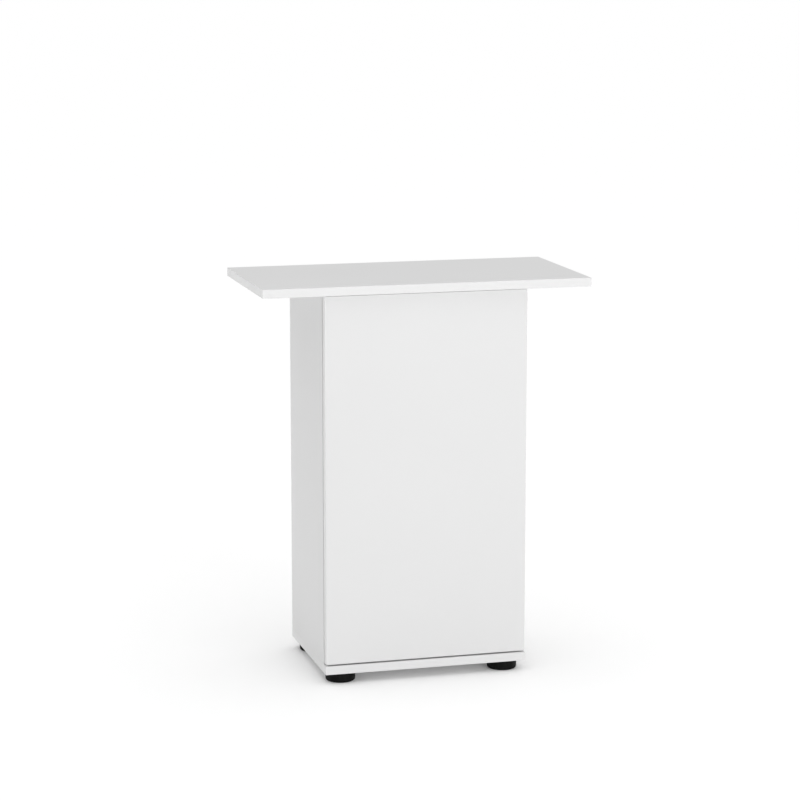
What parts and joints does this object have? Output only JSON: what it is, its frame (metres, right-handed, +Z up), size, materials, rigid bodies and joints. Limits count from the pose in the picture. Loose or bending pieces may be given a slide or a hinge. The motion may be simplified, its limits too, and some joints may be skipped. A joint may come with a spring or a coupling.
{
  "type": "aquarium stand cabinet",
  "caption": "White board cabinet that carries an aquarium: a wide overhanging top plate on a narrower box with one overlay door, a shelf and four round levelling feet.",
  "frame": {"origin": "on the floor under the middle of the top plate", "axes": "+X to the right seen from the front, +Y to the back (the door faces -Y), +Z up"},
  "size_m": [0.61, 0.31, 0.734],
  "materials": {
    "white_melamine_board": "white melamine-faced chipboard, satin",
    "abs_edging": "white ABS edge strip, satin",
    "black_plastic": "moulded black plastic",
    "plated_steel": "nickel-plated steel",
    "zinc_die_cast": "die-cast zinc",
    "beech": "plain fluted beech",
    "grey_plastic": "moulded light grey plastic",
    "magnet": "nickel-plated magnet",
    "clear_rubber": "soft clear polyurethane"
  },
  "bodies": {
    "carcass": {"back_panel": "white_melamine_board", "bottom_board": "white_melamine_board", "bottom_board_edging": "abs_edging", "cam_bolts": "plated_steel", "cam_locks": "zinc_die_cast", "foot_sockets": "black_plastic", "hinge_arm_pins": "plated_steel", "hinge_arm_screws": "plated_steel", "hinge_arms": "plated_steel", "hinge_mounting_plates": "plated_steel", "left_side_edging": "abs_edging", "left_side_panel": "white_melamine_board", "mounting_plate_screws": "plated_steel", "push_latch_housing": "grey_plastic", "push_latch_screws": "plated_steel", "right_side_edging": "abs_edging", "right_side_panel": "white_melamine_board", "shelf": "white_melamine_board", "shelf_edging": "abs_edging", "shelf_supports": "plated_steel", "top_plate": "white_melamine_board", "top_plate_edging": "abs_edging", "top_rail": "white_melamine_board", "top_rail_edging": "abs_edging", "wooden_dowels": "beech"},
    "door": {"door": "white_melamine_board", "door_edging": "abs_edging", "hinge_cups": "plated_steel", "hinge_cup_screws": "plated_steel", "hinge_cup_pins": "plated_steel", "strike_plate": "plated_steel", "strike_plate_screw": "plated_steel", "door_buffers": "clear_rubber"},
    "hinge_outer_links": {"hinge_outer_links": "plated_steel"},
    "hinge_inner_links": {"hinge_inner_links": "plated_steel"},
    "latch_plunger": {"push_latch_plunger": "grey_plastic", "latch_magnet": "magnet"},
    "foot_stem_front_left": {"foot_stem_front_left": "plated_steel"},
    "foot_disc_front_left": {"foot_disc_front_left": "black_plastic"},
    "foot_stem_front_right": {"foot_stem_front_right": "plated_steel"},
    "foot_disc_front_right": {"foot_disc_front_right": "black_plastic"},
    "foot_stem_back_left": {"foot_stem_back_left": "plated_steel"},
    "foot_disc_back_left": {"foot_disc_back_left": "black_plastic"},
    "foot_stem_back_right": {"foot_stem_back_right": "plated_steel"},
    "foot_disc_back_right": {"foot_disc_back_right": "black_plastic"}
  },
  "joints": [
    {"name": "outer_link_turn", "type": "hinge", "parent": "carcass", "child": "hinge_outer_links", "pos_m": [0.15, -0.0895, 0.3765], "axis": [0, 0, 1], "range_deg": [-30.5, 0]},
    {"name": "door_swing", "type": "hinge", "parent": "hinge_outer_links", "child": "door", "pos_m": [0.17977, -0.1239, 0.3765], "axis": [0, 0, 1], "range_deg": [0, 125.4]},
    {"name": "inner_link_turn", "type": "hinge", "parent": "carcass", "child": "hinge_inner_links", "pos_m": [0.16058, -0.11843, 0.3765], "axis": [0, 0, 1], "range_deg": [-56.1, 0]},
    {"name": "latch_push", "type": "slide", "parent": "carcass", "child": "latch_plunger", "axis": [0, -1, 0], "range_m": [0, 0.014]},
    {"name": "foot_lift_front_left", "type": "slide", "parent": "carcass", "child": "foot_stem_front_left", "axis": [0, 0, -1], "range_m": [0, 0.0075]},
    {"name": "foot_turn_front_left", "type": "hinge", "parent": "foot_stem_front_left", "child": "foot_disc_front_left", "pos_m": [-0.155, -0.1045, 0], "axis": [0, 0, -1], "range_deg": [0, 2160]},
    {"name": "foot_lift_front_right", "type": "slide", "parent": "carcass", "child": "foot_stem_front_right", "axis": [0, 0, -1], "range_m": [0, 0.0075]},
    {"name": "foot_turn_front_right", "type": "hinge", "parent": "foot_stem_front_right", "child": "foot_disc_front_right", "pos_m": [0.155, -0.1045, 0], "axis": [0, 0, -1], "range_deg": [0, 2160]},
    {"name": "foot_lift_back_left", "type": "slide", "parent": "carcass", "child": "foot_stem_back_left", "axis": [0, 0, -1], "range_m": [0, 0.0075]},
    {"name": "foot_turn_back_left", "type": "hinge", "parent": "foot_stem_back_left", "child": "foot_disc_back_left", "pos_m": [-0.155, 0.1045, 0], "axis": [0, 0, -1], "range_deg": [0, 2160]},
    {"name": "foot_lift_back_right", "type": "slide", "parent": "carcass", "child": "foot_stem_back_right", "axis": [0, 0, -1], "range_m": [0, 0.0075]},
    {"name": "foot_turn_back_right", "type": "hinge", "parent": "foot_stem_back_right", "child": "foot_disc_back_right", "pos_m": [0.155, 0.1045, 0], "axis": [0, 0, -1], "range_deg": [0, 2160]}
  ],
  "couplings": [
    {"joint": "outer_link_turn", "follows": "door_swing", "ratio": -0.24242},
    {"joint": "inner_link_turn", "follows": "door_swing", "ratio": -0.44621},
    {"joint": "latch_push", "follows": "door_swing", "m_per_rad": 0.0063},
    {"joint": "foot_lift_front_left", "follows": "foot_turn_front_left", "m_per_rad": 0.00019894},
    {"joint": "foot_lift_front_right", "follows": "foot_turn_front_right", "m_per_rad": 0.00019894},
    {"joint": "foot_lift_back_left", "follows": "foot_turn_back_left", "m_per_rad": 0.00019894},
    {"joint": "foot_lift_back_right", "follows": "foot_turn_back_right", "m_per_rad": 0.00019894}
  ]
}
